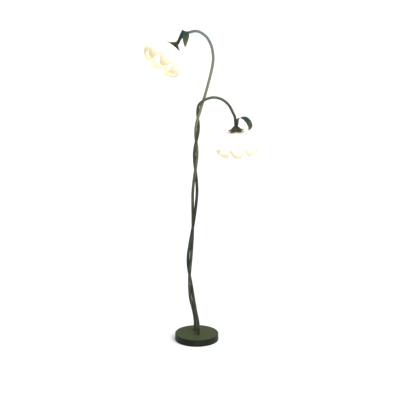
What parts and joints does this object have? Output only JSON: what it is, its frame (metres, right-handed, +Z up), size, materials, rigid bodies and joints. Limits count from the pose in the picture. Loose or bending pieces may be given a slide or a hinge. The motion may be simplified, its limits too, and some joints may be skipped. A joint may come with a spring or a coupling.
{
  "type": "tree floor lamp",
  "caption": "Floor lamp with twined metal stems on a round weighted base, each arching over to hold a scalloped opal glass flower shade with a calyx and a curled leaf.",
  "frame": {"origin": "on the floor under the centre of the round base", "axes": "+Z up along the stems, +X from the taller stem's flower towards the shorter stem's flower, -Y towards the viewer"},
  "size_m": [0.5653, 0.256, 1.6084],
  "materials": {
    "base_enamel": "satin olive enamel",
    "stem_enamel": "satin olive-bronze enamel",
    "leaf_enamel": "satin leaf-green enamel",
    "calyx_enamel": "satin olive enamel",
    "ballast_iron": "as cast, primed",
    "plate_steel": "zinc plated",
    "screw_steel": "zinc plated",
    "zinc_steel": "zinc plated",
    "felt": "pressed felt",
    "black_rubber": "moulded",
    "seal_silicone": "moulded",
    "white_nylon": "moulded",
    "wire_sleeve": "extruded",
    "holder_plastic": "moulded",
    "steatite": "unglazed",
    "contact_brass": "pressed",
    "opal_glass": "opal, blown and lit",
    "bulb_cap_metal": "rolled",
    "bulb_glass": "frosted",
    "filament": "coated"
  },
  "bodies": {
    "lamp": {"base_cover": "base_enamel", "base_ballast": "ballast_iron", "base_plate": "plate_steel", "base_plate_screws": "screw_steel", "base_pad": "felt", "cable_inlet": "black_rubber", "terminal_block": "white_nylon", "terminal_screws": "screw_steel", "upper_foot_stud": "zinc_steel", "upper_foot_washer": "zinc_steel", "upper_foot_nut": "zinc_steel", "upper_stem": "stem_enamel", "upper_wire": "wire_sleeve", "upper_nipple": "zinc_steel", "upper_washer": "zinc_steel", "upper_nut": "zinc_steel", "upper_calyx": "calyx_enamel", "upper_leaf": "leaf_enamel", "upper_holder_cap": "holder_plastic", "upper_holder_barrel": "holder_plastic", "upper_holder_core": "steatite", "upper_contact_sleeve": "contact_brass", "upper_centre_contact": "contact_brass", "upper_shade_seal": "seal_silicone", "upper_shade": "opal_glass", "lower_foot_stud": "zinc_steel", "lower_foot_washer": "zinc_steel", "lower_foot_nut": "zinc_steel", "lower_stem": "stem_enamel", "lower_wire": "wire_sleeve", "lower_nipple": "zinc_steel", "lower_washer": "zinc_steel", "lower_nut": "zinc_steel", "lower_calyx": "calyx_enamel", "lower_leaf": "leaf_enamel", "lower_holder_cap": "holder_plastic", "lower_holder_barrel": "holder_plastic", "lower_holder_core": "steatite", "lower_contact_sleeve": "contact_brass", "lower_centre_contact": "contact_brass", "lower_shade_seal": "seal_silicone", "lower_shade": "opal_glass"},
    "upper_bulb": {"upper_bulb_cap": "bulb_cap_metal", "upper_bulb_globe": "bulb_glass", "upper_bulb_filament": "filament"},
    "upper_ring": {"upper_shade_ring": "holder_plastic"},
    "lower_bulb": {"lower_bulb_cap": "bulb_cap_metal", "lower_bulb_globe": "bulb_glass", "lower_bulb_filament": "filament"},
    "lower_ring": {"lower_shade_ring": "holder_plastic"}
  },
  "joints": [
    {"name": "upper_bulb_turn", "type": "hinge", "parent": "lamp", "child": "upper_bulb", "pos_m": [-0.14996, -0.03169, 1.4753], "axis": [0.6083, 0.3746, 0.6998], "continuous": true},
    {"name": "upper_ring_turn", "type": "hinge", "parent": "lamp", "child": "upper_ring", "pos_m": [-0.11675, -0.01124, 1.51351], "axis": [0.6083, 0.3746, 0.6998], "continuous": true},
    {"name": "lower_bulb_turn", "type": "hinge", "parent": "lamp", "child": "lower_bulb", "pos_m": [0.19928, 0, 1.03517], "axis": [-0.0802, 0, 0.9968], "continuous": true},
    {"name": "lower_ring_turn", "type": "hinge", "parent": "lamp", "child": "lower_ring", "pos_m": [0.19491, 0, 1.0896], "axis": [-0.0802, 0, 0.9968], "continuous": true}
  ]
}
